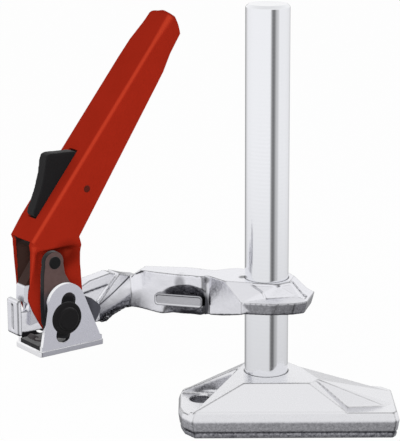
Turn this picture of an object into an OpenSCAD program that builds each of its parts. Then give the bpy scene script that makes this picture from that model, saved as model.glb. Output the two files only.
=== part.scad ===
// Machine table clamp: a cranked arm slides on a round column that stands in a bolted base.
// At the arm's end a lever turns two snail cams that press a slotted foot down on the work.
// Millimetres, +Z up, origin on the column axis at the table plane, the arm reaches to -X.

/* [Column] */
// column diameter
column_d = 25; // [20:0.5:30]
// top of the column above the table
column_top = 244; // [180:1:320]
// chamfer at the column top
column_chamfer = 1.6; // [0.5:0.1:3]

/* [Base] */
// base end on the side of the arm
base_front = -51; // [-60:0.5:-50]
// base end on the far side of the column
base_back = 75; // [72:0.5:90]
// reach of the base in front of the column axis
base_half_w = 31.5; // [30.5:0.5:38]
// reach of the base behind the column axis
base_rear = 26; // [25:0.5:34]
// height of the plateau around the column
base_h = 30.7; // [28:0.1:36]
// height of the rim
rim_h = 15.3; // [14.5:0.1:17]
// height of the parting line of the casting
parting_h = 10.2; // [8:0.1:11]
// draft of the rim below the parting line
rim_draft = 1.5; // [1:0.1:4]
// height of the foot band under the groove of the rim
foot_band_h = 3; // [2:0.1:4]
// height of the groove in the rim
rim_groove_h = 1; // [0.6:0.1:1.4]
// depth of the groove in the rim
rim_groove_deep = 1.2; // [0.6:0.1:2]
// draft of the rim above the parting line
rim_lean = 1.6; // [0.5:0.1:2]
// floor of the column socket above the table
socket_floor = 6; // [4:0.5:8]
// bolt hole diameter
bolt_hole_d = 13.5; // [9:0.5:14]
// bolt hole distance from the column axis
bolt_hole_x = -37.5; // [-39:0.5:-36.5]
// bolt pad height
pad_h = 13.4; // [12:0.1:14]

/* [Arm] */
// underside of the arm at rest
arm_low = 64; // [60:0.5:70]
// height of the arm section
arm_tall = 23; // [20:0.5:26]
// height of the ledge round the hub above the arm underside
hub_parting = 13; // [11:0.1:14]
// relief of the hub underside above the arm underside
hub_relief = 6; // [4:0.1:7]
// direction of the shank, from -X towards +Y
shank_yaw = 15.2; // [12:0.1:18]

/* [Pivot] */
// main pivot position along X at rest
pivot_x = -121.5; // [-123:0.5:-120]
// main pivot position along Y at rest
pivot_y = -9; // [-10:0.5:-8]
// main pivot height above the arm underside
pivot_up = 5.1; // [4.5:0.1:5.5]
// direction of the lever plane, from +X towards +Y
lever_yaw = 36.5; // [35:0.5:38]
// main pin diameter
main_pin_d = 8; // [6:0.1:9]
// journal diameter at the ends of the main pin
journal_d = 5.2; // [4:0.1:6]
// running clearance on radius
run_gap = 0.05; // [0.02:0.01:0.08]
// seat clearance on radius for pins that stay put
seat_gap = 0.02; // [0.01:0.01:0.04]
// side clearance between plates
side_gap = 0.2; // [0.1:0.05:0.3]

/* [Stack across the lever plane] */
// half thickness of the tongue
tongue_half = 4.25; // [3.8:0.05:4.5]
// sheet thickness of the lever
lever_sheet = 1.5; // [1.2:0.1:2]
// thickness of a cam plate
cam_t = 4; // [3:0.1:5]
// thickness of a foot cheek
cheek_t = 2.5; // [2:0.1:3]

/* [Lever] */
// half width of the grip at the elbow
grip_half = 12.3; // [11.5:0.1:13]
// half width of the grip at the tip
tip_half = 11.6; // [10.5:0.1:12]
// length of the grip along its spine
grip_len = 151; // [130:1:170]
// angle of the spine in the lever plane
grip_angle = 51; // [50:0.5:52]
// strap pin diameter
strap_pin_d = 6; // [5:0.1:7]
// strap pin head diameter
strap_head_d = 7.2; // [6.5:0.1:8]
// trigger pin diameter
trigger_pin_d = 4; // [3:0.1:5]
// width of the trigger
trigger_w = 8; // [6:0.1:9]
// trigger offset from the lever's middle plane
trigger_off = -1.5; // [-2:0.1:2]

/* [Cam and foot] */
// rise of the cam for one radian of lever
cam_rise = 8; // [6:0.1:9]
// cam reach under the pivot at rest
cam_low = 14.2; // [14:0.1:14.5]
// clearance between cam and foot floor
cam_gap = 0.5; // [0.4:0.05:0.7]
// floor thickness of the foot bracket
floor_t = 2.5; // [2:0.1:3]
// thickness of the sole
sole_t = 3; // [2:0.1:4]
// width of the foot slot
slot_w = 9.5; // [8.5:0.1:10]
// lean of the foot slot from upright
slot_lean = 11.5; // [9:0.5:13]
// slot reach above and below the pivot
slot_reach = 10; // [8:0.5:10.5]
// flange diameter of a guide cap
cap_d = 19; // [17:0.5:20]

/* [Ratchet] */
// radius over the ratchet teeth
ratchet_r = 21.4; // [20.5:0.1:21.6]
// depth of a ratchet tooth
tooth_deep = 1.6; // [1:0.1:2]
// number of ratchet teeth
tooth_count = 10; // [8:1:12]
// half thickness of the thin blade that carries the ratchet plates
blade_half = 2.2; // [1.8:0.1:2.5]

/* [Hidden] */
$fn = 64;
column_r = column_d / 2;
arm_top = arm_low + arm_tall;
pivot_z = arm_low + pivot_up;
pin_r = main_pin_d / 2;
journal_r = journal_d / 2;
// distances from the lever's middle plane
flange_in = tongue_half + side_gap;
flange_out = flange_in + lever_sheet;
cam_in = flange_out + 0.1;
cam_out = cam_in + cam_t;
cheek_in = cam_out + side_gap;
cheek_out = cheek_in + cheek_t;
cap_in = cheek_out + side_gap;
// heights in the lever plane
floor_up = -(cam_low + cam_gap);
floor_low = floor_up - floor_t;
sole_low = floor_low - sole_t;
// foot outline along the lever plane
foot_left = -16.3;
foot_right = 24;
// lever landmarks in the lever plane
strap_u = -5.2;
strap_v = 32.6;
elbow_u = -20.5;
elbow_v = 47.2;
trigger_x = 42.6;
trigger_y = -12.6;
slot_x0 = 12.4;
slot_x1 = 58.8;
set_screw_z = 21.5;
set_screw_end = base_rear - 7.8;
groove_r = column_r - 1.6;
thin = 0.02;

module lever_frame() {
  translate([pivot_x, pivot_y, pivot_z])
    rotate([0, 0, lever_yaw])
      rotate([90, 0, 0])
        children();
}

module hub_frame() {
  rotate([0, 0, 180 - shank_yaw])
    children();
}

module grip_frame() {
  translate([elbow_u, elbow_v, 0])
    rotate([0, 0, grip_angle])
      children();
}

module slab(z0, z1) {
  translate([0, 0, z0])
    linear_extrude(z1 - z0)
      children();
}

module on_side(side) {
  if (side > 0)
    children();
  else
    mirror([0, 0, 1])
      children();
}

module both_sides() {
  on_side(1)
    children();
  on_side(-1)
    children();
}

module rounded(x0, x1, y0, y1, r) {
  translate([x0 + r, y0])
    square([x1 - x0 - 2 * r, y1 - y0]);
  translate([x0, y0 + r])
    square([x1 - x0, y1 - y0 - 2 * r]);
  for (x = [x0 + r, x1 - r], y = [y0 + r, y1 - r])
    translate([x, y])
      circle(r, $fn = 32);
}

// Base

module base_outline(inset) {
  points = [[base_front + 8, -base_half_w], [base_back - 2, -base_half_w], [base_back, -base_half_w + 3],
    [base_back, 9], [base_back - 5, 15], [base_back - 15, 17.5], [26, base_rear], [-22, base_rear],
    [base_front + 9, 18.5], [base_front + 2.5, 14.5], [base_front, 9], [base_front, -15],
    [base_front + 2, 8 - base_half_w]];
  middle = [base_front + base_back, base_rear - base_half_w] / 2;
  share = [1 - 2 * inset / (base_back - base_front), 1 - 2 * inset / (base_rear + base_half_w)];
  polygon([for (p = points) [middle[0] + (p[0] - middle[0]) * share[0], middle[1] + (p[1] - middle[1]) * share[1]]]);
}

module base_rim() {
  groove_top = foot_band_h + rim_groove_h;
  band_inset = rim_draft * (1 - foot_band_h / parting_h);
  wall_inset = rim_draft * (1 - groove_top / parting_h);
  // foot band
  hull() {
    slab(0, thin) base_outline(rim_draft + 0.3);
    slab(foot_band_h - thin, foot_band_h) base_outline(band_inset);
  }
  // core behind the groove
  slab(foot_band_h - 1, groove_top + 1) base_outline(band_inset + rim_groove_deep);
  // wall above the groove, drafted both ways from the parting line
  hull() {
    slab(groove_top, groove_top + thin) base_outline(wall_inset);
    slab(parting_h, parting_h + thin) base_outline(0);
    slab(rim_h - thin, rim_h) base_outline(rim_lean);
  }
}

module hill(low, high) {
  hull() {
    slab(rim_h - 1, rim_h)
      polygon(low);
    slab(base_h - thin, base_h)
      polygon(high);
  }
}

module base_hill() {
  foot_y = rim_lean + 0.4 - base_half_w;
  top_y = 8.7 - base_half_w;
  rear_y = base_rear - 4;
  top_rear = base_rear - 9;
  // front slope with the plateau around the column
  hill([[base_front + 8.5, foot_y], [45, foot_y], [46, -20], [40, 12], [20, rear_y], [-16, rear_y], [-22, 8]],
    [[-13.6, top_y], [23.3, top_y], [27.3, -19], [19.5, 6], [11, top_rear], [-10, top_rear], [-14.7, 6]]);
  // lower hill behind a ledge on the side away from the arm
  hill([[20, -20], [47, -21.4], [base_back - 7, -19.7], [base_back - 2.5, -15], [base_back - 2.5, 6],
      [base_back - 13, 12], [20, 20]],
    [[15, top_y + 5.8], [29.5, top_y + 5.8], [19.5, 6], [10, 12]]);
  // wall behind the bolt pad
  hill([[base_front + 3, 9], [base_front + 5, 13], [base_front + 11, 16.5], [-10, rear_y - 1], [-10, 5]],
    [[-14.7, 6], [-9, 4], [-10, top_rear]]);
}

module bolt_pocket() {
  slab(pad_h, base_h + 1)
    polygon([[-24.5, 5.5], [base_front + 9.5, 4.5 - base_half_w], [base_front - 5, 4.5 - base_half_w],
      [base_front - 5, 9.5], [base_front + 3, 9.5]]);
}

module base_plate() {
  color([0.86, 0.86, 0.88])
    difference() {
      union() {
        base_rim();
        base_hill();
      }
      bolt_pocket();
      translate([bolt_hole_x, 0, -1])
        cylinder(h = base_h, d = bolt_hole_d);
      translate([0, 0, socket_floor])
        cylinder(h = base_h, r = column_r + run_gap);
      translate([0, 0, set_screw_z])
        rotate([-90, 0, 0])
          cylinder(h = base_rear, r = 4 + seat_gap);
    }
}

module column() {
  color([0.8, 0.81, 0.83])
    rotate_extrude()
      polygon([[0, socket_floor + 0.1], [column_r - 1, socket_floor + 0.1],
        [column_r, socket_floor + 1.1], [column_r, set_screw_z - 5], [groove_r, set_screw_z - 4.5],
        [groove_r, set_screw_z + 4.5], [column_r, set_screw_z + 5],
        [column_r, column_top - column_chamfer], [column_r - column_chamfer, column_top],
        [0, column_top]]);
}

module set_screw() {
  color([0.2, 0.2, 0.21])
    translate([0, 0, set_screw_z])
      rotate([-90, 0, 0])
        difference() {
          translate([0, 0, groove_r + 0.3])
            cylinder(h = set_screw_end - groove_r - 0.3, r = 4);
          translate([0, 0, set_screw_end - 4])
            cylinder(h = 6, r = 2.3, $fn = 6);
        }
}

// Arm

module both_flanks(points, z0, z1) {
  slab(z0, z1)
    polygon(concat(points, [for (i = [len(points) - 1 : -1 : 0]) [points[i][0], -points[i][1]]]));
}

module arm_hub() {
  crown = [[32.2, 6.6], [21.7, 13.8], [6.5, 13.8], [-9.5, 12.8], [-14.9, 6.2]];
  wall = [[9.5, 22], [-7, 20.3], [-20, 15.5], [-26, 10.5]];
  ledge = [[-3.5, 17.3], [-22, 9.6]];
  // share of the wall's reach that its foot has
  wall_foot = 0.93;
  wall_low = arm_low + hub_relief;
  wall_top = arm_low + hub_parting;
  // steep roof from the crown around the column to the ledge
  hull() {
    both_flanks([[32, 7.4], [24, 7]], arm_low, arm_low + thin);
    both_flanks([[24, 7], wall[0]], wall_low, wall_top);
    both_flanks(ledge, wall_top + 2, wall_top + 2 + thin);
    both_flanks(crown, arm_top - thin, arm_top);
  }
  // upright wall under the ledge
  hull() {
    both_flanks(wall * wall_foot, wall_low, wall_low + thin);
    both_flanks(wall, wall_top, wall_top + thin);
    both_flanks(ledge, wall_top + 1.6, wall_top + 2);
  }
}

module arm_shank() {
  intersection() {
    both_flanks([[20, 6.2], [33, 6.4], [38, 6.5], [44, 7.9], [50, 8.2], [73, 5.2], [88, 5.2]], arm_low, arm_top);
    rotate([90, 0, 0])
      slab(-30, 30)
        polygon([[10, arm_low], [10, arm_top], [74, arm_top], [88, arm_top - 13], [88, arm_low]]);
  }
}

module arm_tongue() {
  // thick part beyond the sweep of the lever flanges
  slab(-6, 6)
    polygon([[27.5, -9], [27.5, 2.2], [37, 12.6], [41.5, 17], [49, 14.4], [57, 12.5], [58, -5], [46, -5],
      [38, -7.6], [33, -10.6], [29.5, -10.6]]);
  // tongue between the flanges, with a shallow recess on both faces
  difference() {
    slab(-tongue_half, tongue_half) {
      circle(9.2);
      polygon([[0, 9.2], [12, 11.6], [22, 15.9], [36, 18], [46, 15], [46, -5], [36, -8], [32, -10.2],
        [27, -9.8], [0, -9.2]]);
    }
    both_sides()
      slab(tongue_half - 0.65, tongue_half + 1)
        polygon([[12, -6.5], [12, 8.4], [35, 11.6], [27.4, 3.2], [27.4, -6.5]]);
  }
  // thin blade for the ratchet plates
  slab(-blade_half, blade_half)
    polygon(concat([[0, 0]], [for (a = [95 : 5 : 165]) 18.5 * [cos(a), sin(a)]],
      [[-25, 5], [-25, -7.5], [-4, -8]]));
  // end stop with its groove
  difference() {
    slab(-5.75, 5.75)
      polygon([[-27.5, -7], [-27.5, 11.5], [-26.3, 12.8], [-24.6, 12.8], [-24.6, -8], [-26.3, -8]]);
    slab(-0.9, 0.9)
      translate([-28.5, -5])
        square([2, 15]);
  }
}

module sliding_arm() {
  color([0.84, 0.84, 0.87])
    difference() {
      union() {
        hub_frame() {
          arm_hub();
          arm_shank();
        }
        lever_frame()
          arm_tongue();
      }
      translate([0, 0, arm_low - 1])
        cylinder(h = arm_tall + 2, r = column_r + run_gap);
      lever_frame() {
        slab(-8, 8)
          circle(pin_r + seat_gap);
        rivet_holes();
      }
    }
}

module rivet_places() {
  for (a = [112, 158])
    translate(14.4 * [cos(a), sin(a)])
      children();
}

module rivet_holes() {
  slab(-8, 8)
    rivet_places()
      circle(1.5 + seat_gap, $fn = 32);
}

module ratchet_plate(side) {
  step = 60 / tooth_count;
  teeth = [for (i = [0 : tooth_count - 1], k = [0, 1])
    (ratchet_r - k * tooth_deep) * [cos(95 + (i + k * 0.9) * step), sin(95 + (i + k * 0.9) * step)]];
  inner = [for (a = [190 : -5 : 90]) 9.6 * [cos(a), sin(a)]];
  color([0.72, 0.72, 0.75])
    lever_frame()
      on_side(side)
        difference() {
          slab(blade_half, tongue_half - 0.05)
            polygon(concat(teeth, [19 * [cos(160), sin(160)], 19 * [cos(190), sin(190)]], inner));
          rivet_holes();
        }
}

module ratchet_plate_near() {
  ratchet_plate(1);
}

module ratchet_plate_far() {
  ratchet_plate(-1);
}

module ratchet_rivets() {
  color([0.6, 0.6, 0.62])
    lever_frame()
      slab(-tongue_half + 0.05, tongue_half - 0.05)
        rivet_places()
          circle(1.5, $fn = 32);
}

module main_pin() {
  shoulder = cam_out + 0.05;
  tip = cap_in + 1.5;
  color([0.55, 0.55, 0.58])
    lever_frame()
      rotate_extrude()
        polygon([[0, -tip], [journal_r, -tip], [journal_r, -shoulder], [pin_r, -shoulder], [pin_r, shoulder],
          [journal_r, shoulder], [journal_r, tip], [0, tip]]);
}

module guide_cap(side) {
  boss_r = slot_w / 2 - 0.1;
  bore_r = journal_r + run_gap;
  start = cam_out + 0.15;
  bore_end = cap_in + 1.55;
  color([0.13, 0.13, 0.14])
    lever_frame()
      on_side(side)
        rotate_extrude()
          polygon([[bore_r, start], [boss_r, start], [boss_r, cap_in], [cap_d / 2, cap_in],
            [cap_d / 2, cap_in + 1.2], [cap_d / 2 - 0.6, cap_in + 1.8], [6.6, cap_in + 1.8],
            [6.4, cap_in + 3.4], [5.6, cap_in + 4], [0, cap_in + 4], [0, bore_end], [bore_r, bore_end]]);
}

module guide_cap_near() {
  guide_cap(1);
}

module guide_cap_far() {
  guide_cap(-1);
}

// Lever

module grip_side(wall) {
  polygon([[-wall * 20, -wall], [grip_len - 1.6 - wall, -wall], [grip_len - wall, -1.6 - wall],
    [grip_len - wall, -9.5], [grip_len - 1.6 - wall, -12.6], [grip_len - 4.4 - wall, -14.3 - wall * 20],
    [18.2 - wall * 20, -24.9 - wall * 20]]);
}

module grip_plan(wall) {
  taper = (grip_half - tip_half) / grip_len;
  rotate([90, 0, 0])
    slab(-30, 60)
      polygon([[-40, wall - grip_half - 40 * taper], [grip_len, wall - tip_half],
        [grip_len, tip_half - wall], [-40, grip_half + 40 * taper - wall]]);
}

module lever_grip() {
  grip_frame()
    difference() {
      intersection() {
        slab(-20, 20) grip_side(0);
        grip_plan(0);
      }
      intersection() {
        slab(-20, 20) grip_side(lever_sheet);
        grip_plan(lever_sheet);
      }
      slab(trigger_off - trigger_w / 2 - 0.3, trigger_off + trigger_w / 2 + 0.3)
        translate([slot_x0, -4])
          square([slot_x1 - slot_x0, 6]);
      slab(-20, 20)
        translate([trigger_x, trigger_y])
          circle(trigger_pin_d / 2 + seat_gap);
    }
}

module lever_joggle() {
  hull() {
    slab(flange_in, flange_out)
      translate([-20, 39.4])
        square([34.2, 0.6]);
    slab(grip_half - lever_sheet - 0.15, grip_half - 0.15)
      translate([-20.2, 46.2])
        square([30.4, 0.6]);
  }
}

module lever_head() {
  slab(flange_in, flange_out)
    difference() {
      polygon([[-20, 40], [-20, 12], [-17, 4.5], [-13, -3], [-9, -9.2], [0, -12.5], [9, -9.2], [13.6, -3],
        [15.6, 11], [14.7, 33], [14.2, 40]]);
      circle(pin_r + run_gap);
      translate([strap_u, strap_v])
        circle(strap_pin_d / 2 + seat_gap);
    }
}

module lever_handle() {
  color([0.62, 0.09, 0.05])
    lever_frame() {
      lever_grip();
      both_sides() {
        lever_head();
        lever_joggle();
      }
    }
}

module cam_shape() {
  // involute flank: its reach under the pivot grows by cam_rise for each radian of lever
  flank = [for (a = [-98 : 4 : -18])
    (cam_low + cam_rise * (a + 90) * PI / 180) * [cos(a), sin(a)] + cam_rise * [-sin(a), cos(a)]];
  polygon(concat(flank, [[24.9, 2.4], [19.7, 7], [14.3, 9.8], [8.5, 15], [4.4, 20.4], [1.9, 25], [0.6, 33],
    [-11, 33], [-12.2, 26], [-12.9, 8], [-12.6, -2.5], [-10.2, -7.6], [-5, -11.6], [0, -13.2]]));
  translate([strap_u, strap_v])
    circle(6.2);
}

module cam_plate(side) {
  color([0.35, 0.31, 0.31])
    lever_frame()
      on_side(side)
        slab(cam_in, cam_out)
          difference() {
            cam_shape();
            circle(pin_r + run_gap);
            translate([strap_u, strap_v])
              circle(strap_pin_d / 2 + seat_gap);
          }
}

module cam_plate_near() {
  cam_plate(1);
}

module cam_plate_far() {
  cam_plate(-1);
}

module strap_pin() {
  head = cam_out + 0.05;
  color([0.12, 0.12, 0.13])
    lever_frame()
      translate([strap_u, strap_v, 0])
        rotate_extrude()
          polygon([[0, -head - 1.6], [strap_head_d / 2 - 0.5, -head - 1.6], [strap_head_d / 2, -head - 1.1],
            [strap_head_d / 2, -head], [strap_pin_d / 2, -head], [strap_pin_d / 2, head],
            [strap_head_d / 2, head], [strap_head_d / 2, head + 1.1], [strap_head_d / 2 - 0.5, head + 1.6],
            [0, head + 1.6]]);
}

module trigger_pin() {
  reach = grip_half - (grip_half - tip_half) * trigger_x / grip_len + 0.4;
  color([0.3, 0.3, 0.32])
    lever_frame()
      grip_frame()
        translate([trigger_x, trigger_y, 0])
          slab(-reach, reach)
            circle(trigger_pin_d / 2);
}

module trigger() {
  color([0.13, 0.13, 0.14])
    lever_frame()
      grip_frame()
        slab(trigger_off - trigger_w / 2, trigger_off + trigger_w / 2)
          difference() {
            polygon([[14, 0.4], [14.6, 2.2], [16.4, 3.2], [21, 4.4], [29, 6.8], [37, 10.2], [43, 13.7], [46, 14.8],
              [48.2, 13.4], [57.6, 0.6], [56, -4], [48, -16], [44, -17.6], [38, -16.6], [17, -16.6], [15.5, -15],
              [15.5, -12.6], [30, -11], [22, -3.8], [15, -1.4]]);
            translate([trigger_x, trigger_y])
              circle(trigger_pin_d / 2 + run_gap);
          }
}

module release_spring() {
  inner = -lever_sheet;
  color([0.7, 0.7, 0.72])
    lever_frame()
      grip_frame()
        slab(-3, 3)
          polygon([[0.5, inner], [8.5, inner], [14, inner - 3.6], [24, inner - 6.4], [23.8, inner - 7],
            [13.7, inner - 4.3], [8.2, inner - 0.7], [0.5, inner - 0.7]]);
}

module pawl() {
  color([0.7, 0.7, 0.73])
    lever_frame()
      slab(-flange_in + side_gap, flange_in - side_gap)
        difference() {
          union() {
            translate([strap_u, strap_v])
              circle(6);
            polygon([[-10.4, 35.2], [-16.5, 27], [-21.8, 19.5], [-22.3, 11.5], [-19.9, 9.7], [-19.2, 12.5],
              [-17.5, 17.5], [-13, 22.6], [-6, 27], [-1.5, 28], [0.4, 31.5], [6, 38], [9.5, 48.5], [5.6, 51.6],
              [4.8, 49.3], [1, 40.5], [-6.5, 38.4]]);
          }
          translate([strap_u, strap_v])
            circle(strap_pin_d / 2 + run_gap);
        }
}

// Foot

module foot_slot() {
  rotate(-slot_lean) {
    translate([-slot_w / 2, -slot_reach])
      square([slot_w, 2 * slot_reach]);
    for (y = [-slot_reach, slot_reach])
      translate([0, y])
        circle(slot_w / 2);
  }
}

module foot_bracket() {
  color([0.78, 0.78, 0.82])
    lever_frame() {
      both_sides()
        slab(cheek_in, cheek_out)
          difference() {
            union() {
              translate([0.7, 7.7])
                circle(12.2);
              polygon([[-11.3, 9.8], [foot_left, floor_low], [foot_right, floor_low], [12, 12.4]]);
            }
            foot_slot();
          }
      difference() {
        slab(-cheek_out, cheek_out)
          translate([foot_left, floor_low])
            square([foot_right - foot_left, floor_t]);
        foot_rivet_holes(seat_gap);
      }
    }
}

module foot_rivet_holes(gap) {
  for (u = [-7, 9])
    translate([u, floor_low + 6, 0])
      rotate([90, 0, 0])
        cylinder(h = 20, r = 2 + gap);
}

module pressure_plate() {
  color([0.74, 0.74, 0.78])
    lever_frame()
      difference() {
        translate([0, floor_low, 0])
          rotate([90, 0, 0])
            slab(0, sole_t)
              rounded(foot_left - 1.6, foot_right + 0.9, -cheek_out - 0.8, cheek_out + 0.8, 1.6);
        foot_rivet_holes(seat_gap);
      }
}

module foot_rivets() {
  color([0.6, 0.6, 0.63])
    lever_frame()
      for (u = [-7, 9])
        translate([u, floor_up + 1.6, 0])
          rotate([90, 0, 0])
            cylinder(h = 1.6 - sole_low + floor_up, r = 2);
}

module foot_spring() {
  color([0.75, 0.75, 0.78])
    lever_frame()
      difference() {
        slab(-3.2, 3.2)
          polygon([[13, floor_up], [-11, floor_up], [-15.2, floor_up + 1.4], [-16.2, floor_up + 3],
            [-14.2, floor_up + 4.2], [-12.4, floor_up + 3.4], [-12.8, floor_up + 2.7], [-14.2, floor_up + 3.3],
            [-15.1, floor_up + 2.8], [-14.6, floor_up + 2], [-10.8, floor_up + 0.8], [13, floor_up + 0.8]]);
        foot_rivet_holes(seat_gap);
      }
}

base_plate();
column();
set_screw();
sliding_arm();
ratchet_plate_near();
ratchet_plate_far();
ratchet_rivets();
main_pin();
guide_cap_near();
guide_cap_far();
lever_handle();
cam_plate_near();
cam_plate_far();
strap_pin();
trigger_pin();
trigger();
release_spring();
pawl();
foot_bracket();
pressure_plate();
foot_rivets();
foot_spring();
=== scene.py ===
"""Looks of the machine table clamp: plated castings, a chromed column and a red pressed lever."""

import bmesh
import bpy
from math import cos, pi, radians, sin
from mathutils import Matrix, Vector


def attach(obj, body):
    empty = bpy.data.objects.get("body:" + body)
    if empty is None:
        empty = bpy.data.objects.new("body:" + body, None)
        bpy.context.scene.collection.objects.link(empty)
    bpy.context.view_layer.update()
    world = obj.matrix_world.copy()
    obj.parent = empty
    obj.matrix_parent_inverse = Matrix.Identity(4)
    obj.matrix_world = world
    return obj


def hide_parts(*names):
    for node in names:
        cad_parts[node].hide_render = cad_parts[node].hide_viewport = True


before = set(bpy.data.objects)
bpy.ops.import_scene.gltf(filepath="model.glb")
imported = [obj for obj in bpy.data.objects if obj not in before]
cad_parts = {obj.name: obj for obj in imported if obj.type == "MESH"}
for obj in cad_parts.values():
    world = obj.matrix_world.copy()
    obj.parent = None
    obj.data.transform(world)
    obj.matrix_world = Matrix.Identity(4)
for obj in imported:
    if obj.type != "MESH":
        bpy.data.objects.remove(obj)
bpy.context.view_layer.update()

MM = 0.001

# Main pivot of the lever: x and y lie in the plane in which the lever swings, and z is the axis of its swing
PIVOT = Vector((-121.5, -9.0, 69.1)) * MM
LEVER_YAW = radians(36.5)
LEVER = Matrix.Translation(PIVOT) @ Matrix.Rotation(LEVER_YAW, 4, "Z") @ Matrix.Rotation(pi / 2, 4, "X")
LEVER_AXIS = LEVER.col[2].to_3d()
# Elbow of the lever: x runs along the spine of the grip, and y looks out of it
GRIP = LEVER @ Matrix.Translation(Vector((-20.5, 47.2, 0)) * MM) @ Matrix.Rotation(radians(51), 4, "Z")
# Hub of the arm: x runs along the shank, y looks out of its near face, and z is the axis of the column
HUB = Matrix.Rotation(radians(180 - 15.2), 4, "Z")

# Half the width of the lever at its elbow
LEVER_HALF = 12.3
# Ends of the trigger's slot along the grip, and its sides across the grip
SLOT = (13.2, 58.8)
SLOT_SIDES = (-5.8, 2.8)
# Angles round each fold of the lever's sheet, and steps across each flange
FOLD = tuple(radians(angle) for angle in range(0, 91, 18))
FLANGE = 26
# Foot's wall, from the plane of the lever: just outside its inner face, and just inside its outer one
FOOT_WALL = (10.35, 12.6)
# Distance from the pivot within which the foot's wall belongs to its slot
FOOT_SLOT_REACH = 18.5
# Edges that turn by more degrees than this are shaded as sharp
CRISP_DEG = 32


# Materials


def linear(code):
    """The linear colour of an sRGB hex value."""
    parts = [int(code[i:i + 2], 16) / 255 for i in (1, 3, 5)]
    return [p / 12.92 if p <= 0.04045 else ((p + 0.055) / 1.055) ** 2.4 for p in parts] + [1.0]


def feed(tree, node, inputs):
    """Links or sets the inputs of a node."""
    for socket, value in inputs.items():
        if isinstance(value, bpy.types.NodeSocket):
            tree.links.new(value, node.inputs[socket])
        else:
            node.inputs[socket].default_value = value


def add(tree, kind, settings=(), inputs=()):
    """Adds a node with its settings and inputs."""
    made = tree.nodes.new(kind)
    for setting, value in dict(settings).items():
        setattr(made, setting, value)
    feed(tree, made, dict(inputs))
    return made


def parts_of(material):
    """The tree and the shader of a material, and the place and the normal of a point on its surface."""
    tree = material.node_tree
    coordinates = add(tree, "ShaderNodeTexCoord")
    return tree, tree.nodes["Principled BSDF"], coordinates.outputs["Object"], coordinates.outputs["Normal"]


def new_material(name):
    """A new material, and the parts that its finish is built from."""
    material = bpy.data.materials.new(name)
    material.use_nodes = True
    return material, *parts_of(material)


def grained(tree, shader, place, grain_mm, depth_mm, detail):
    """Gives a surface its fine grain."""
    grain = add(tree, "ShaderNodeTexNoise",
                inputs={"Vector": place, "Scale": 1 / (grain_mm * MM), "Detail": detail})
    bump = add(tree, "ShaderNodeBump", inputs={"Height": grain.outputs["Fac"], "Distance": depth_mm * MM})
    feed(tree, shader, {"Normal": bump.outputs["Normal"]})


def metal_skin(tree, shader, place, cloud, rough, rough_spread, grain_mm, depth_mm):
    """Makes a surface metal, with a gloss that follows its clouds and a fine grain."""
    gloss = add(tree, "ShaderNodeMapRange",
                inputs={"Value": cloud.outputs["Fac"], "From Min": 0.3, "From Max": 0.7,
                        "To Min": rough - rough_spread, "To Max": rough + rough_spread})
    feed(tree, shader, {"Metallic": 1.0, "Roughness": gloss.outputs["Result"]})
    grained(tree, shader, place, grain_mm, depth_mm, detail=3.0)


def covered(tree, shader, code, share):
    """Covers a share of a surface's own colour with another one."""
    own = shader.inputs["Base Color"].links[0].from_socket
    tone = add(tree, "ShaderNodeMix", {"data_type": "RGBA"}, {"Factor": share, 6: own, 7: linear(code)})
    feed(tree, shader, {"Base Color": tone.outputs[2]})


def mottled_metal(name, light, dark, patch_mm, rough, rough_spread, grain_mm, depth_mm):
    """A metal with cloudy patches of two tones and a fine grain in its surface."""
    material, tree, shader, place, _ = new_material(name)
    cloud = add(tree, "ShaderNodeTexNoise",
                inputs={"Vector": place, "Scale": 1 / (patch_mm * MM), "Detail": 4.0})
    tone = add(tree, "ShaderNodeMix", {"data_type": "RGBA"},
               {"Factor": cloud.outputs["Fac"], 6: linear(dark), 7: linear(light)})
    feed(tree, shader, {"Base Color": tone.outputs[2]})
    metal_skin(tree, shader, place, cloud, rough, rough_spread, grain_mm, depth_mm)
    return material


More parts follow.
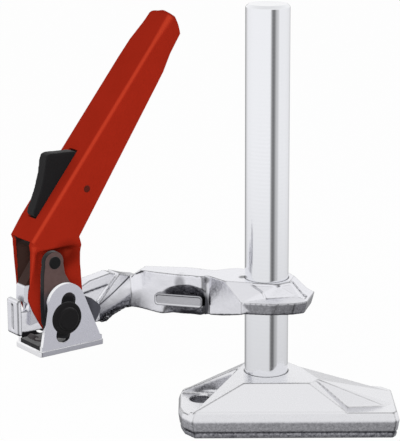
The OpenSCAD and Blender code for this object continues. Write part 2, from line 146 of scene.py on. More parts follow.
def plated_metal(name, plate, shade_tones, lean, shaded_foot_mm, rough, grain_mm, depth_mm):
    """Bright plating with painted shade: patchy dark tones where a face looks down or lies in the band at the
    foot, and darker edges and creases.

    The lean is how far up a face looks, as the z of its normal, where the plating starts over the painted
    shade and where it is full.
    """
    material, tree, shader, place, normal = new_material(name)
    patch_mm = 1.4
    cloud = add(tree, "ShaderNodeTexNoise",
                inputs={"Vector": place, "Scale": 1 / (patch_mm * MM), "Detail": 6.0, "Roughness": 0.7})
    patch = add(tree, "ShaderNodeMapRange",
                inputs={"Value": cloud.outputs["Fac"], "From Min": 0.36, "From Max": 0.64})
    shade_tone = add(tree, "ShaderNodeMix", {"data_type": "RGBA"},
              {"Factor": patch.outputs["Result"], 6: linear(shade_tones[0]), 7: linear(shade_tones[1])})
    # painted shade: the dark tones show on faces that look down and on the band at the foot, and plating
    # covers the rest
    facing = add(tree, "ShaderNodeSeparateXYZ", inputs={0: normal})
    lit = add(tree, "ShaderNodeMapRange",
              inputs={"Value": facing.outputs["Z"], "From Min": lean[0], "From Max": lean[1]})
    tall = add(tree, "ShaderNodeSeparateXYZ", inputs={0: place})
    off_foot = add(tree, "ShaderNodeMapRange",
                   inputs={"Value": tall.outputs["Z"], "From Min": (shaded_foot_mm - 0.6) * MM,
                           "From Max": shaded_foot_mm * MM})
    unshaded_share = add(tree, "ShaderNodeMath", {"operation": "MULTIPLY"},
                {0: lit.outputs["Result"], 1: off_foot.outputs["Result"]})
    tone = add(tree, "ShaderNodeMix", {"data_type": "RGBA"},
               {"Factor": unshaded_share.outputs[0], 6: shade_tone.outputs[2], 7: linear(plate)})
    # painted shade: edges, corners and creases are darker
    pointed = add(tree, "ShaderNodeNewGeometry").outputs["Pointiness"]
    bend = add(tree, "ShaderNodeMath", {"operation": "SUBTRACT"}, {0: pointed, 1: 0.5})
    corner = add(tree, "ShaderNodeMath", {"operation": "ABSOLUTE"}, {0: bend.outputs[0]})
    edge_shade = add(tree, "ShaderNodeMapRange",
               inputs={"Value": corner.outputs[0], "From Min": 0.012, "From Max": 0.045,
                       "To Min": 1.0, "To Max": 0.3})
    edge_shaded = add(tree, "ShaderNodeMix", {"data_type": "RGBA", "blend_type": "MULTIPLY"},
                {"Factor": 1.0, 6: tone.outputs[2], 7: edge_shade.outputs["Result"]})
    feed(tree, shader, {"Base Color": edge_shaded.outputs[2]})
    metal_skin(tree, shader, place, cloud, rough, 0.06, grain_mm, depth_mm)
    return material


# Plated grey iron: a fine sparkle in its skin, with painted shade in dark patchy tones on faces that turn
# away from above and on the band at its foot
plated_casting = plated_metal("plated_cast_iron", "#EAEAED", shade_tones=("#63636B", "#C6C6CC"),
                              lean=(-0.42, 0.42), shaded_foot_mm=4, rough=0.30, grain_mm=0.8, depth_mm=0.03)
# Plated drop forging: wavy from the die, with painted shade in dark patchy tones on faces that look down
plated_forging = plated_metal("plated_forged_steel", "#E9E9EE", shade_tones=("#34343A", "#A6A6AE"),
                              lean=(-0.3, -0.06), shaded_foot_mm=0, rough=0.22, grain_mm=6, depth_mm=0.13)


def painted_shade_patch(material, centre_mm, radii_mm, share):
    """Paints shade as one dark rounded patch on the arm, placed in the frame of its hub."""
    tree, shader, place, _ = parts_of(material)
    patch = add(tree, "ShaderNodeMapping", {"vector_type": "TEXTURE"},
                {"Vector": place, "Location": HUB @ (Vector(centre_mm) * MM), "Rotation": HUB.to_euler(),
                 "Scale": Vector(radii_mm) * MM})
    reach = add(tree, "ShaderNodeVectorMath", {"operation": "LENGTH"}, {0: patch.outputs[0]})
    dark = add(tree, "ShaderNodeMapRange", {"interpolation_type": "SMOOTHSTEP"},
               {"Value": reach.outputs["Value"], "From Min": 0.4, "From Max": 1.0,
                "To Min": share, "To Max": 0.0})
    covered(tree, shader, "#2C2C32", dark.outputs["Result"])


# Painted shade: dark patches in the corner at the hub, above and under the panel, and where the column comes
# through
for centre, radii, darkness in (((34.6, 6, 69), (3.4, 9, 11), 0.95),
                                ((33.6, 6, 84.5), (2.0, 9, 2.6), 0.6),
                                ((49.5, 6, 81.5), (4.4, 9, 7), 0.5),
                                ((44, 6, 62.6), (14, 9, 3.4), 0.9),
                                ((13.4, 3.6, 87), (2.8, 4, 3), 0.8)):
    painted_shade_patch(plated_forging, centre, radii, darkness)


def highlighted_edges(material):
    """Paints a highlight on the cut edges of a sheet that lies along the plane of the lever: they are
    whitened.
    """
    tree, shader, _, normal = parts_of(material)
    across = add(tree, "ShaderNodeVectorMath", {"operation": "DOT_PRODUCT"}, {0: normal, 1: LEVER_AXIS})
    flat = add(tree, "ShaderNodeMath", {"operation": "ABSOLUTE"}, {0: across.outputs["Value"]})
    edge = add(tree, "ShaderNodeMapRange",
               inputs={"Value": flat.outputs[0], "From Min": 0.8, "From Max": 0.97,
                       "To Min": 1.0, "To Max": 0.0})
    covered(tree, shader, "#F6F6F8", edge.outputs["Result"])
    return material


def shaded_inside(material):
    """Paints shade on the foot: blackens the faces that look at the cams, and the walls of its slots."""
    tree, shader, place, _ = parts_of(material)
    away = add(tree, "ShaderNodeVectorMath", {"operation": "SUBTRACT"}, {0: place, 1: PIVOT})
    across = add(tree, "ShaderNodeVectorMath", {"operation": "DOT_PRODUCT"},
                 {0: away.outputs[0], 1: LEVER_AXIS})
    depth = add(tree, "ShaderNodeMath", {"operation": "ABSOLUTE"}, {0: across.outputs["Value"]})
    inner, wall = (add(tree, "ShaderNodeMath", {"operation": "LESS_THAN"},
                       {0: depth.outputs[0], 1: distance * MM}) for distance in FOOT_WALL)
    reach = add(tree, "ShaderNodeVectorMath", {"operation": "LENGTH"}, {0: away.outputs[0]})
    near = add(tree, "ShaderNodeMath", {"operation": "LESS_THAN"},
               {0: reach.outputs["Value"], 1: FOOT_SLOT_REACH * MM})
    slot = add(tree, "ShaderNodeMath", {"operation": "MULTIPLY"}, {0: wall.outputs[0], 1: near.outputs[0]})
    black = add(tree, "ShaderNodeMath", {"operation": "MAXIMUM"}, {0: inner.outputs[0], 1: slot.outputs[0]})
    covered(tree, shader, "#1C1B1D", black.outputs[0])
    return material


def satin_zinc(name, light, dark):
    """Zinc plated sheet: faintly cloudy, satin, with a painted highlight on its cut edges."""
    return highlighted_edges(mottled_metal(name, light, dark, patch_mm=4, rough=0.30, rough_spread=0.08,
                                 grain_mm=0.8, depth_mm=0.03))


# Zinc plated sheet of the sole, with painted shade: a little darker and greyer than the foot
zinc_sheet = satin_zinc("zinc_plated_sheet_shaded", "#C2C2CA", "#A4A4AC")
# Zinc plated sheet of the foot: brighter than the sole, with painted shade inside: black on the faces that
# look at the cams and on the walls of its slots
foot_sheet = shaded_inside(satin_zinc("zinc_sheet_shaded_inside", "#DEDEE6", "#C2C2CC"))
# Plain bright steel of pins and springs
bright_steel = mottled_metal("bright_steel", "#D2D2D8", "#B8B8C0", patch_mm=4, rough=0.28, rough_spread=0.05,
                             grain_mm=0.5, depth_mm=0.02)
# Spring steel of the return leaf, with painted shade: dark and slightly brown
dark_steel = mottled_metal("spring_steel_painted_shade", "#4A4446", "#383335", patch_mm=5, rough=0.42, rough_spread=0.06,
                           grain_mm=0.5, depth_mm=0.03)


def cam_steel():
    """Hardened plate: brown-grey strap and bluer cam, with painted shade: black on its cut edges and near the
    pivot.
    """
    material, tree, shader, place, normal = new_material("hardened_cam_steel")
    cloud = add(tree, "ShaderNodeTexNoise", inputs={"Vector": place, "Scale": 1 / (3 * MM), "Detail": 5.0})
    brown = add(tree, "ShaderNodeMix", {"data_type": "RGBA"},
                {"Factor": cloud.outputs["Fac"], 6: linear("#5A4644"), 7: linear("#725C59")})
    tall = add(tree, "ShaderNodeSeparateXYZ", inputs={0: place})
    strap = add(tree, "ShaderNodeMapRange",
                inputs={"Value": tall.outputs["Z"], "From Min": PIVOT.z + 9 * MM,
                        "From Max": PIVOT.z + 17 * MM})
    plate = add(tree, "ShaderNodeMix", {"data_type": "RGBA"},
                {"Factor": strap.outputs["Result"], 6: linear("#54545C"), 7: brown.outputs[2]})
    # painted shade: the cut edges, and the plates near the pivot behind the foot's slot, are black
    across = add(tree, "ShaderNodeVectorMath", {"operation": "DOT_PRODUCT"}, {0: normal, 1: LEVER_AXIS})
    flat = add(tree, "ShaderNodeMath", {"operation": "ABSOLUTE"}, {0: across.outputs["Value"]})
    face = add(tree, "ShaderNodeMapRange",
               inputs={"Value": flat.outputs[0], "From Min": 0.55, "From Max": 0.9})
    reach = add(tree, "ShaderNodeVectorMath", {"operation": "DISTANCE"}, {0: place, 1: PIVOT})
    clear_of_pivot = add(tree, "ShaderNodeMapRange",
                inputs={"Value": reach.outputs["Value"], "From Min": 15 * MM, "From Max": 23 * MM})
    unshaded_face = add(tree, "ShaderNodeMath", {"operation": "MULTIPLY"},
               {0: face.outputs["Result"], 1: clear_of_pivot.outputs["Result"]})
    tone = add(tree, "ShaderNodeMix", {"data_type": "RGBA"},
               {"Factor": unshaded_face.outputs[0], 6: linear("#141416"), 7: plate.outputs[2]})
    rough = add(tree, "ShaderNodeMapRange",
                inputs={"Value": cloud.outputs["Fac"], "To Min": 0.36, "To Max": 0.5})
    feed(tree, shader, {"Base Color": tone.outputs[2], "Roughness": rough.outputs["Result"], "Metallic": 0.8})
    grained(tree, shader, place, grain_mm=0.5, depth_mm=0.03, detail=3.0)
    return material


def hard_chrome():
    """Ground and chromed bar: mirror-like, with the faint rings that grinding leaves."""
    material, tree, shader, place, _ = new_material("hard_chrome")
    # the rings are about 0.05 mm apart on the real bar and are drawn further apart so that they show
    ring_mm = 2.344
    # a wave texture of scale 1 has 20 waves in 2 pi
    rings = add(tree, "ShaderNodeTexWave", {"wave_type": "BANDS", "bands_direction": "Z"},
                {"Vector": place, "Scale": 2 * pi / (20 * ring_mm * MM), "Distortion": 1.5, "Detail": 2.0})
    rough = add(tree, "ShaderNodeMapRange",
                inputs={"Value": rings.outputs["Fac"], "To Min": 0.10, "To Max": 0.15})
    bump = add(tree, "ShaderNodeBump", inputs={"Height": rings.outputs["Fac"], "Distance": 0.002 * MM})
    feed(tree, shader, {"Base Color": linear("#EEEFF2"), "Metallic": 1.0,
                        "Roughness": rough.outputs["Result"], "Normal": bump.outputs["Normal"]})
    return material


def red_paint():
    """Satin red stoving paint on pressed steel: a soft orange peel and slightly uneven tone."""
    material, tree, shader, place, normal = new_material("red_stoving_paint")
    cloud = add(tree, "ShaderNodeTexNoise", inputs={"Vector": place, "Scale": 1 / (22 * MM), "Detail": 3.0})
    tone = add(tree, "ShaderNodeMix", {"data_type": "RGBA"},
               {"Factor": cloud.outputs["Fac"], 6: linear("#902213"), 7: linear("#9C2617")})
    # less light reaches the dish that the strap lies in
    dish = LEVER @ (Vector((2, 35, 9)) * MM)
    away = add(tree, "ShaderNodeVectorMath", {"operation": "DISTANCE"}, {0: place, 1: dish})
    light = add(tree, "ShaderNodeMapRange", {"interpolation_type": "SMOOTHSTEP"},
                {"Value": away.outputs["Value"], "From Min": 5 * MM, "From Max": 13 * MM,
                 "To Min": 0.5, "To Max": 1.0})
    dished = add(tree, "ShaderNodeMix", {"data_type": "RGBA", "blend_type": "MULTIPLY"},
                 {"Factor": 1.0, 6: tone.outputs[2], 7: light.outputs["Result"]})
    feed(tree, shader, {"Base Color": dished.outputs[2], "Roughness": 0.45, "Specular IOR Level": 0.0})
    # painted highlight: the paint is lighter along the folds
    up, across = (add(tree, "ShaderNodeVectorMath", {"operation": "DOT_PRODUCT"},
                      {0: normal, 1: axis.to_3d()}) for axis in (GRIP.col[1], GRIP.col[2]))
    aside = add(tree, "ShaderNodeMath", {"operation": "ABSOLUTE"}, {0: across.outputs["Value"]})
    slant = add(tree, "ShaderNodeMath", {"operation": "MULTIPLY"},
                {0: up.outputs["Value"], 1: aside.outputs[0]})
    fold = add(tree, "ShaderNodeMapRange",
               inputs={"Value": slant.outputs[0], "From Min": 0.2, "From Max": 0.48, "To Max": 0.7})
    covered(tree, shader, "#B43A24", fold.outputs["Result"])
    grained(tree, shader, place, grain_mm=1.4, depth_mm=0.03, detail=2.0)
    return material


def dull_coat(name, code, rough, grain_mm, depth_mm):
    """A dark dull surface with an uneven gloss and a fine grain."""
    material, tree, shader, place, _ = new_material(name)
    cloud = add(tree, "ShaderNodeTexNoise", inputs={"Vector": place, "Scale": 1 / (7 * MM), "Detail": 3.0})
    gloss = add(tree, "ShaderNodeMapRange",
                inputs={"Value": cloud.outputs["Fac"], "To Min": rough - 0.08, "To Max": rough + 0.08})
    feed(tree, shader, {"Base Color": linear(code), "Roughness": gloss.outputs["Result"],
                        "Specular IOR Level": 0.1})
    grained(tree, shader, place, grain_mm, depth_mm, detail=2.0)
    return material


def shaded_pawl():
    """Hardened pawl, with painted shade: dark brown over its body, and bright metal at the tip where it meets
    the ratchet.
    """
    material, tree, shader, place, _ = new_material("pawl_steel_painted_shade")
    tip_mm, blur_mm = 89.5, 0.3
    # painted shade: below the tip the pawl is dark brown
    tall = add(tree, "ShaderNodeSeparateXYZ", inputs={0: place})
    scale = add(tree, "ShaderNodeMapRange",
                inputs={"Value": tall.outputs["Z"], "From Min": (tip_mm - blur_mm) * MM,
                        "From Max": (tip_mm + blur_mm) * MM})
    tone = add(tree, "ShaderNodeMix", {"data_type": "RGBA"},
               {"Factor": scale.outputs["Result"], 6: linear("#E2E2E8"), 7: linear("#33211C")})
    shine = add(tree, "ShaderNodeMath", {"operation": "SUBTRACT"}, {0: 1.0, 1: scale.outputs["Result"]})
    rough = add(tree, "ShaderNodeMapRange",
                inputs={"Value": scale.outputs["Result"], "To Min": 0.3, "To Max": 0.6})
    feed(tree, shader, {"Base Color": tone.outputs[2], "Metallic": shine.outputs[0],
                        "Roughness": rough.outputs["Result"], "Specular IOR Level": 0.14})
    return material


pawl_steel = shaded_pawl()
cam_plate = cam_steel()
chrome = hard_chrome()
paint = red_paint()
# Glass-filled nylon of trigger and guide caps: matt, with the grain of a spark-eroded mould
black_plastic = dull_coat("black_nylon", "#161516", rough=0.5, grain_mm=0.8, depth_mm=0.04)
# Painted shade inside the lever: a flat, dull dark brown on its inner faces
inside_shade = dull_coat("brown_inside_shade", "#33211C", rough=0.6, grain_mm=1.2, depth_mm=0.03)
# Painted end of the trigger pin, with painted shade: dull dark red
shaded_red = dull_coat("painted_pin_end", "#4E170E", rough=0.6, grain_mm=1.2, depth_mm=0.03)
# Black oxide on the rivet heads and the set screw: thin, dark, a little shiny; on the rivets in the foot's
# floor the black is painted shade
black_oxide_and_shade = dull_coat("black_oxide_and_shade_steel", "#121213", rough=0.38, grain_mm=0.6, depth_mm=0.02)


# Pieces


def object_of(name, bm, material):
    """A new object in the scene with the mesh of a bmesh."""
    mesh = bpy.data.meshes.new(name)
    bm.to_mesh(mesh)
    bm.free()
    mesh.materials.append(material)
    made = bpy.data.objects.new(name, mesh)
    bpy.context.scene.collection.objects.link(made)
    return made


def shade(bm):
    """Smooth faces, with every sharp edge kept crisp."""
    for face in bm.faces:
        face.smooth = True
    for edge in bm.edges:
        edge.smooth = edge.is_manifold and edge.calc_face_angle(0) < radians(CRISP_DEG)


def piece(name, bm, material, body, slot, *nodes, finish=()):
    """Makes the object of a bmesh with its modifiers, and ties it to its body and CAD nodes; its slot is not
    used.
    """
    shade(bm)
    made = object_of(name, bm, material)
    # the bright metal mirrors none of the small pieces at the arm's end
    made.visible_glossy = body in ("base", "column", "arm")
    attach(made, body)
    if nodes:
        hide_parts(*nodes)
    for kind, settings in (*finish, ("WEIGHTED_NORMAL", {"keep_sharp": True})):
        modifier = made.modifiers.new(kind.lower(), kind)
        for setting, value in settings.items():
            setattr(modifier, setting, value)
    return made


def merged(node):
    """A closed copy of a CAD solid."""
    bm = bmesh.new()
    bm.from_mesh(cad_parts[node].data)
    bmesh.ops.remove_doubles(bm, verts=bm.verts, dist=0.001 * MM)
    return bm


def eased(node, width_mm):
    """A copy of a CAD solid with its sharp edges rounded."""
    flat_deg, sharp_deg = 0.6, 30
    bm = merged(node)
    bmesh.ops.dissolve_limit(bm, angle_limit=radians(flat_deg), verts=bm.verts, edges=bm.edges)
    sharp = [e for e in bm.edges if e.is_manifold and e.calc_face_angle(0) > radians(sharp_deg)]
    bmesh.ops.bevel(bm, geom=sharp, offset=width_mm * MM, offset_type="OFFSET", affect="EDGES",
                    segments=3, profile=0.5, material=-1, clamp_overlap=True)
    return bm


def soft_skin(rounds):
    """Modifiers that give a casting, forging or moulding its run-over edges."""
    return (("REMESH", {"mode": "VOXEL", "voxel_size": 0.5 * MM, "use_smooth_shade": True}),
            ("SMOOTH", {"factor": 0.5, "iterations": rounds}))


def sheet(bm, rows):
    """Adds a sheet of faces that runs through rows of points."""
    made = bmesh.ops.create_grid(bm, x_segments=len(rows[0]) - 1, y_segments=len(rows) - 1, size=1.0)["verts"]
    for vert, point in zip(made, [point for row in rows for point in row]):
        vert.co = point


def eased_step(value):
    """Goes smoothly from 0 to 1 while the value does."""
    value = min(max(value, 0.0), 1.0)
    return value * value * (3 - 2 * value)


def hump(value, start, rise, end, fall):
    """Rises smoothly from 0 to 1 past its start, and falls back to 0 past its end."""
    return eased_step((value - start) / rise) * (1 - eased_step((value - end) / fall))


def between(table, value):
    """Reads a table of (place, size) pairs, falling in place, at any place."""
    for (place, size), (next_place, next_size) in zip(table, table[1:]):
        if value >= next_place:
            return size + (next_size - size) * (place - value) / (place - next_place)
    return table[-1][1]


def lever_channel():
    """Rows of the grip from its nose to the elbow, across from the far lower edge to the near one."""
    # place along the spine, and how far the section has shrunk there
    nose = ((154.6, 10.4), (154.6, 9), (154.5, 7.6), (154.2, 5.4), (153.8, 3.6), (153.3, 2.2), (152.7, 1.2),
            (152, 0.4), (151, 0))
    spine = [(x, 0) for x in (146.6, 144, 140, 132, 120, 108, 96, 84, 72, SLOT[1], 46, 34, 22, SLOT[0], 6, 0)]
    # start and end of the lower edge along the spine, its depth under the spine there, and its slant
    low_start, low_end, low_depth, low_slant = 18.2, 147.2, 24.9, 0.0837
    rows = []
    for x, shrink in (*nose, *spine):
        half = LEVER_HALF - 0.0045 * x - shrink
        drop = min(shrink / 2, 1.8)
        # the folds get rounder towards the nose
        fold = min(2.4 + 1.6 * eased_step((x - 132) / 20), 0.75 * half)
        low_x = min(x + low_start * (1 - x / 148.4), low_end)
        low_y = low_slant * (low_x - low_start) - low_depth + 1.6 * eased_step((low_x - 122) / 14)
        # near the nose the flange bows forward by up to 1 mm
        bow = Vector((eased_step((x - 142) / 9), 0))
        near = [(Vector((x, -drop - fold * (1 - cos(t)))), half - fold + fold * sin(t)) for t in FOLD]
        top, low = near[-1][0], Vector((low_x, low_y))
        for k in range(1, FLANGE + 1):
            near.append((top.lerp(low, k / FLANGE) + bow * sin(pi * k / FLANGE), half))
        # the far flange stands out further than the near one, apart from the nose
        wide = 1.6 * eased_step(x / 12) * (1 - 1.5 * eased_step((x - 126) / 22)) * half / 12
        far = [(point, -z - wide) for point, z in near[::-1]]
        # the sides of the slot close in where the nose gets narrow
        narrow = min((half - fold) / 8.0, 1.0)
        web = [(Vector((x, -drop)), z * narrow) for z in SLOT_SIDES]
        rows.append([GRIP @ (Vector((*point, z)) * MM) for point, z in far + web + near])
    return rows


def lever_cheek(elbow, side):
    """Rows of one flange from the elbow down to its foot, sunk where the cam strap lies on it."""
    # height over the pivot, and where the edge of the flange is there
    left = ((47.2, -20.5), (40, -20), (12, -20), (4.5, -17), (-3, -13), (-9.2, -9), (-12.5, 0))
    right = ((45.7, 10.3), (40, 11.9), (36, 12.2), (24, 14.8), (11, 15.6), (-3, 13.6), (-9.2, 9), (-12.5, 0))
    fine = [44.6 - 0.8 * k for k in range(15)]
    coarse = [32 - 1.6 * k for k in range(28)]
    dish_depth = 6.35
    rows = [elbow]
    for v in (*fine, *coarse, -12.4):
        fold = 4.0 * max(v - 18, 0) / 27
        u0, u1 = between(left, v), between(right, v)
        spots = [(u0 + fold * (1 - cos(t)), fold * (1 - sin(t))) for t in FOLD]
        spots += [(u0 + fold + (u1 - u0 - fold) * k / FLANGE, 0.0) for k in range(1, FLANGE + 1)]
        row = []
        for u, lip in spots:
            # the dish ends at its top, and runs out towards the upper part of both edges
            dish = 1 - eased_step((v - 38.6) / 3.4)
            dish *= 1 - eased_step((v - 8) / 38) * eased_step((-12.6 - u) / 6.6)
            dish *= 1 - eased_step((v - 22) / 24) * eased_step((u - 1.5) / 9)
            w = LEVER_HALF - dish_depth * dish - lip
            row.append(LEVER @ (Vector((u, v, side * w)) * MM))
        rows.append(row)
    return rows


def pressed_lever():
    """The lever: one pressed sheet, a channel for the hand that runs into two flanges for the cams."""
    bm = bmesh.new()
    rows = lever_channel()
    sheet(bm, rows)
    # the two halves of the first row are joined, which closes the nose
    tip = rows[0]
    middle = len(tip) // 2
    sheet(bm, (tip[:middle], tip[:middle - 1:-1]))
    for side in (1, -1):
        elbow = rows[-1][::side][-len(FOLD) - FLANGE:]
        sheet(bm, lever_cheek(elbow, side))
    bmesh.ops.remove_doubles(bm, verts=bm.verts, dist=0.02 * MM)
    bmesh.ops.recalc_face_normals(bm, faces=bm.faces)
    to_grip = GRIP.inverted()
    spine = [f for f in bm.faces if abs((to_grip @ f.calc_center_median()).y) < 0.05 * MM]
    if spine[0].normal.dot(GRIP.col[1].to_3d()) < 0:
        bmesh.ops.reverse_faces(bm, faces=bm.faces)
    slot = []
    for face in spine:
        x, _, z = (to_grip @ face.calc_center_median()) / MM
        if SLOT[0] < x < SLOT[1] and SLOT_SIDES[0] < z < SLOT_SIDES[1]:
            slot.append(face)
    bmesh.ops.delete(bm, geom=slot, context="FACES")
    # the inner faces of the sheet take the second material, the painted shade
    wall = ("SOLIDIFY", {"thickness": 1.5 * MM, "offset": -1.0, "material_offset": 1})
    edges = ("BEVEL", {"width": 0.35 * MM, "segments": 2, "limit_method": "ANGLE",
                       "angle_limit": radians(50)})
    made = piece("lever", bm, paint, "lever", "red_paint", "lever_handle", finish=(wall, edges))
    made.data.materials.append(inside_shade)


def arm_relief(place):
    """Moves a point of the arm's skin: hollows and grooves of the forging that the CAD solid leaves out."""
    x, y, z = (HUB.inverted() @ place) / MM
    if y > 2:
        # swell at the hub end of the shank, hollow over the panel, and a rolled and bellied lower edge
        on_shank = eased_step((y - 2.5) / 2) if x > 33 else 0
        along = hump(x, 34, 3, 54, 8)
        swell = 2 * hump(x, 33.4, 3.4, 38, 6)
        hollow = 3 * along * min(max((81 - 0.02 * (x - 45) ** 2 - z) / 5.6, 0), 1)
        rolled = 0.7 * along * max(67.4 - z, 0)
        belly = 2 * hump(x, 33, 6, 54, 26) * eased_step((68 - z) / 4)
        # roof in front of the column, one step lower than the rest of the hub
        step = min(-0.304 * (x - 8.1) - 0.953 * (y - 14), 0.403 * (x + 3.8) - 0.915 * (y - 17.8))
        low_roof = 0.9 * eased_step(step / 0.9) * eased_step(86.9 - z) if z > 78 else 0
        y += (swell - hollow - rolled) * on_shank - 0.6 * low_roof
        z -= belly * on_shank + 0.8 * low_roof
    u, v, w = (LEVER.inverted() @ HUB @ (Vector((x, y, z)) * MM)) / MM
    if w > 4.4 and 27.6 < u < 60:
        # valley behind the tongue's rim, and its dressed lower side
        past = 0.557 * (u - 50) - 0.83 * (v - 14.6)
        valley = 1.7 * hump(past, -0.6, 1.2, 0, 9)
        dressed = 0.018 * max(8 - v, 0) ** 2
        w -= (valley + dressed) * eased_step((60 - u) / 8)
    return LEVER @ (Vector((u, v, w)) * MM)


def carved(made, relief):
    """Fixes the modifiers of a piece in its mesh and moves every point of it."""
    graph = bpy.context.evaluated_depsgraph_get()
    mesh = bpy.data.meshes.new_from_object(made.evaluated_get(graph))
    for vert in mesh.vertices:
        vert.co = relief(vert.co)
    made.modifiers.clear()
    made.data = mesh


def shank_panel():
    """The raised bare panel on the near face of the arm: a rounded frame around a sunk field."""
    length, height, thick, corner = 29.0, 7.2, 3.4, 2.4
    centre = Vector((50.3, 5.2, 71.5)) * MM
    bm = bmesh.new()
    bmesh.ops.create_grid(bm, x_segments=1, y_segments=1, size=0.5)
    bmesh.ops.scale(bm, vec=Vector((length, height, 1)) * MM, verts=bm.verts)
    bmesh.ops.bevel(bm, geom=bm.verts[:], offset=corner * MM, affect="VERTICES", segments=5, profile=0.5,
                    material=-1)
    raised = bmesh.ops.extrude_face_region(bm, geom=bm.faces[:])["geom"]
    front = [g for g in raised if isinstance(g, bmesh.types.BMFace)]
    corners = [g for g in raised if isinstance(g, bmesh.types.BMVert)]
    bmesh.ops.translate(bm, vec=(0, 0, thick * MM), verts=corners)
    bmesh.ops.inset_region(bm, faces=front, thickness=0.9 * MM)
    bmesh.ops.inset_region(bm, faces=front, thickness=0.35 * MM, depth=-0.5 * MM)
    bmesh.ops.recalc_face_normals(bm, faces=bm.faces)
    sharp = [e for e in bm.edges if e.calc_face_angle(0) > radians(35)]
    bmesh.ops.bevel(bm, geom=sharp, offset=0.2 * MM, affect="EDGES", segments=2, profile=0.5, material=-1)
    place = HUB @ Matrix.Translation(centre) @ Matrix.Rotation(-pi / 2, 4, "X")
    bmesh.ops.transform(bm, matrix=place, verts=bm.verts)
    piece("arm_panel", bm, plated_forging, "arm", "plated_forging")


# The base is the largest piece, and its flats are thinned to keep it under 200,000 triangles
piece("base", merged("base_plate"), plated_casting, "base", "plated_casting", "base_plate",
      finish=(*soft_skin(3), ("DECIMATE", {"ratio": 0.9})))
piece("round_column", eased("column", 0.3), chrome, "column", "chromed_column", "column")
arm = piece("arm", merged("sliding_arm"), plated_forging, "arm", "plated_forging", "sliding_arm",
            finish=soft_skin(3))
carved(arm, arm_relief)
pressed_lever()
shank_panel()
for side in ("near", "far"):
    # piece, CAD solid, rounding of its edges, material, body and slot
    for name, node, width_mm, material, body, slot in (
            ("cam_", "cam_plate_", 0.5, cam_plate, "lever", "dark_steel"),
            ("cap_", "guide_cap_", 0.4, black_plastic, "guide", "black_plastic"),
            ("ratchet_", "ratchet_plate_", 0.15, bright_steel, "arm", "bright_steel")):
        piece(name + side, eased(node + side, width_mm), material, body, slot, node + side)
piece("thumb_trigger", merged("trigger"), black_plastic, "trigger", "black_plastic", "trigger",
      finish=soft_skin(14))
for name, node, width_mm, material, body, slot in (
        ("foot", "foot_bracket", 0.7, foot_sheet, "foot", "zinc_sheet"),
        ("sole", "pressure_plate", 0.6, zinc_sheet, "foot", "zinc_sheet"),
        ("pawl_hook", "pawl", 0.4, pawl_steel, "pawl", "bright_steel"),
        # the return leaf is dark with painted shade
        ("return_leaf", "foot_spring", 0.12, dark_steel, "foot", "bright_steel"),
        ("trigger_leaf", "release_spring", 0.12, bright_steel, "lever", "bright_steel"),
        ("pivot_pin", "main_pin", 0.2, bright_steel, "arm", "bright_steel"),
        ("strap_rivet", "strap_pin", 0.2, black_oxide_and_shade, "lever", "black_steel"),
        ("trigger_rivet", "trigger_pin", 0.3, shaded_red, "lever", "bright_steel"),
        ("column_screw", "set_screw", 0.2, black_oxide_and_shade, "base", "black_steel"),
        # the rivets in the foot's floor are black with painted shade
        ("sole_rivets", "foot_rivets", 0.2, black_oxide_and_shade, "foot", "bright_steel"),
        ("plate_rivets", "ratchet_rivets", 0.1, bright_steel, "arm", "bright_steel")):
    piece(name, eased(node, width_mm), material, body, slot, node)


# Camera, floor and light


def camera():
    """The camera of the photograph, in front of the clamp and looking down on it."""
    focal_px, picture_px = 1850, 441
    look_down, roll = radians(14.5), radians(-0.25)
    data = bpy.data.cameras.new("camera")
    data.lens = focal_px * data.sensor_width / picture_px
    made = bpy.data.objects.new("camera", data)
    made.location = (-0.038, -1.0177, 0.3837)
    turn = Matrix.Rotation(pi / 2 - look_down, 3, "X") @ Matrix.Rotation(roll, 3, "Z")
    made.rotation_euler = turn.to_euler()
    bpy.context.scene.collection.objects.link(made)
    bpy.context.scene.camera = made


def floor():
    """A pale floor, nearly white to the camera, that keeps the shadow of the clamp."""
    material, tree, shader, *_ = new_material("pale_floor")
    feed(tree, shader, {"Base Color": linear("#F4F4F4"), "Roughness": 0.9})
    glow = add(tree, "ShaderNodeEmission", inputs={"Color": linear("#FFFFFF"), "Strength": 1.0})
    ray = add(tree, "ShaderNodeLightPath")
    share = add(tree, "ShaderNodeMath", {"operation": "MULTIPLY"}, {0: ray.outputs["Is Camera Ray"], 1: 0.96})
    mix = add(tree, "ShaderNodeMixShader",
              inputs={"Fac": share.outputs[0], 1: shader.outputs[0], 2: glow.outputs[0]})
    feed(tree, tree.nodes["Material Output"], {"Surface": mix.outputs[0]})
    bm = bmesh.new()
    bmesh.ops.create_grid(bm, x_segments=1, y_segments=1, size=6.0)
    made = object_of("floor", bm, material)
    made.visible_glossy = False


def grade(ramp, stops, first, last, blue=1.0):
    """Sets the stops of a colour ramp from pairs of place and brightness, with places from first to last."""
    for _ in stops[2:]:
        ramp.elements.new(0.5)
    for stop, (place, value) in zip(ramp.elements, stops):
        stop.position = (place - first) / (last - first)
        stop.color = (value, value, value * blue, 1)


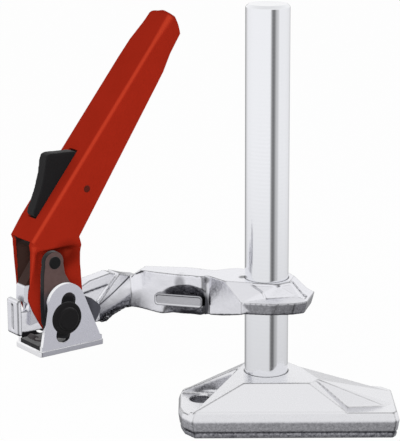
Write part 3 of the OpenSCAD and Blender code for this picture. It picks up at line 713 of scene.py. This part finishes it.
def studio():
    """A pale room: dark below and dark in one narrow direction, which draws the streaks on the metal."""
    world = bpy.data.worlds.new("studio")
    bpy.context.scene.world = world
    world.use_nodes = True
    tree = world.node_tree
    way = add(tree, "ShaderNodeSeparateXYZ", inputs={0: add(tree, "ShaderNodeTexCoord").outputs["Generated"]})
    # brightness round the horizon, by the angle in degrees from straight in front of the clamp
    back = add(tree, "ShaderNodeMath", {"operation": "MULTIPLY"}, {0: way.outputs["Y"], 1: -1.0})
    turn = add(tree, "ShaderNodeMath", {"operation": "ARCTAN2"}, {0: way.outputs["X"], 1: back.outputs[0]})
    angle = add(tree, "ShaderNodeMapRange",
                inputs={"Value": turn.outputs[0], "From Min": -pi, "From Max": pi})
    around = add(tree, "ShaderNodeValToRGB", inputs={"Fac": angle.outputs["Result"]})
    grade(around.color_ramp,
          ((-180, 0.2), (-155, 0.4), (-138, 0.75), (-122, 0.95), (-80, 1.0), (12, 1.0), (20, 0.3), (30, 0.16),
           (38, 0.35), (44, 0.62), (52, 0.62), (60, 0.95), (100, 0.95), (130, 0.9), (155, 0.7), (180, 0.2)),
          first=-180, last=180, blue=1.01)
    above = add(tree, "ShaderNodeMapRange",
                inputs={"Value": way.outputs["Z"], "From Min": -0.04, "From Max": 0.12})
    sky = add(tree, "ShaderNodeMix", {"data_type": "RGBA"},
              {"Factor": above.outputs["Result"], 6: around.outputs["Color"], 7: (1, 1, 1, 1)})
    # brightness from straight below to straight above
    height = add(tree, "ShaderNodeMapRange",
                 inputs={"Value": way.outputs["Z"], "From Min": -1.0, "From Max": 1.0})
    below = add(tree, "ShaderNodeValToRGB", inputs={"Fac": height.outputs["Result"]})
    grade(below.color_ramp, ((-0.75, 0.4), (-0.32, 0.78), (-0.22, 1.0), (0.5, 1.0), (1.0, 0.86)),
          first=-1, last=1)
    room = add(tree, "ShaderNodeMix", {"data_type": "RGBA", "blend_type": "MULTIPLY"},
               {"Factor": 1.0, 6: sky.outputs[2], 7: below.outputs["Color"]})
    # only reflections see the room: other rays get an even light, and the camera a white background
    ray = add(tree, "ShaderNodeLightPath")
    soft = add(tree, "ShaderNodeMix", {"data_type": "RGBA"},
               {"Factor": ray.outputs["Is Glossy Ray"], 6: (0.62, 0.62, 0.63, 1), 7: room.outputs[2]})
    seen = add(tree, "ShaderNodeMix", {"data_type": "RGBA"},
               {"Factor": ray.outputs["Is Camera Ray"], 6: soft.outputs[2], 7: (1, 1, 1, 1)})
    feed(tree, tree.nodes["Background"], {"Color": seen.outputs[2]})


def lamp(name, place, size, power):
    """A round soft lamp that looks at the middle of the clamp and shows in no reflection."""
    middle = Vector((-0.03, 0, 0.1))
    data = bpy.data.lights.new(name, "AREA")
    data.shape = "DISK"
    data.size = size
    data.energy = power
    made = bpy.data.objects.new(name, data)
    made.location = place
    made.rotation_euler = (middle - Vector(place)).to_track_quat("-Z", "Y").to_euler()
    bpy.context.scene.collection.objects.link(made)
    made.visible_glossy = False


camera()
floor()
studio()
lamp("key", (-0.3, -1.05, 0.8), size=0.6, power=7.5)
lamp("fill", (0.9, -0.9, 0.5), size=0.8, power=2.5)

bpy.context.scene.view_settings.view_transform = "Standard"
bpy.context.view_layer.update()
